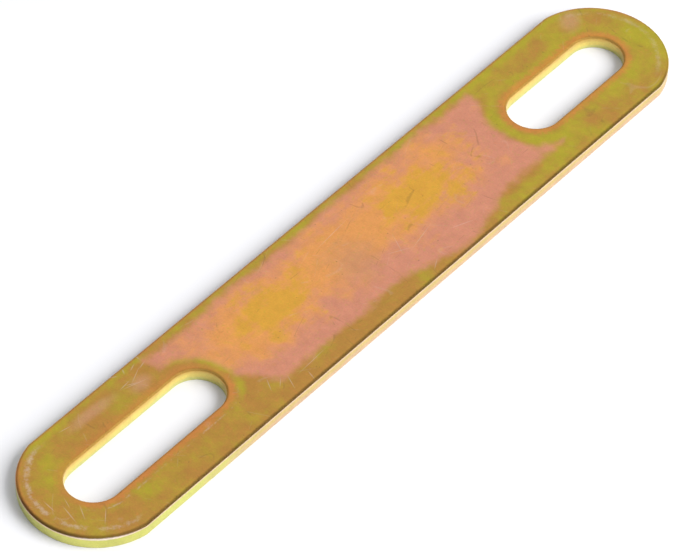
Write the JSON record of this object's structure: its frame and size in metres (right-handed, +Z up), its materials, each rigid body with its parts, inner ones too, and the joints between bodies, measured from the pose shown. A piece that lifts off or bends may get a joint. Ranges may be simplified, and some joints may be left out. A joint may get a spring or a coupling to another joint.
{
  "type": "slotted mending plate",
  "caption": "Flat steel mending plate with rounded ends and a long bolt slot near each end, zinc plated with yellow chromate.",
  "frame": {"origin": "middle of the underside", "axes": "+Y along the plate towards the end with the short slot, +X across the width, +Z up through the thickness to the rolled top face"},
  "size_m": [0.025, 0.15, 0.0025],
  "materials": {
    "yellow_zinc_steel": "yellow chromate zinc plating, satin, iridescent from olive gold to pink"
  },
  "bodies": {
    "root": {"plate": "yellow_zinc_steel"}
  },
  "joints": []
}
